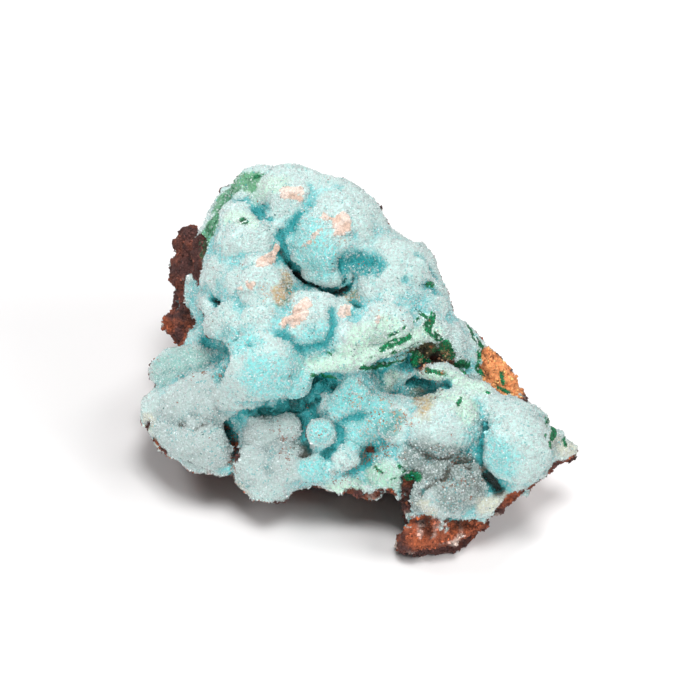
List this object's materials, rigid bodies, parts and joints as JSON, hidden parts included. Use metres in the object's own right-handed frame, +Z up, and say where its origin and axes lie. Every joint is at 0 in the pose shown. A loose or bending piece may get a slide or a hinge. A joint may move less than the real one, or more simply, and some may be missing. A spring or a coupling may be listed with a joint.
{
  "type": "chrysocolla malachite specimen",
  "caption": "Hand-sized mineral specimen: rounded pale blue drusy crust with green malachite on rusty iron rock, leaning high at one end and low at the other.",
  "frame": {"origin": "middle of the specimen's box, on the surface it rests on", "axes": "+X along the specimen's length towards its thin tip, +Z up as it rests, -Y towards the low front with the foot"},
  "size_m": [0.0854, 0.0762, 0.0512],
  "materials": {
    "chrysocolla_druse": "sparkling sugary druse of tiny clear quartz over pale blue",
    "iron_rock": "rough, dull, rusty brown",
    "malachite": "silky to dull green skin",
    "chalky_crust": "chalky, pale peach",
    "quartz_points": "clear glassy grains"
  },
  "bodies": {
    "root": {"specimen": "chrysocolla_druse"}
  },
  "joints": []
}
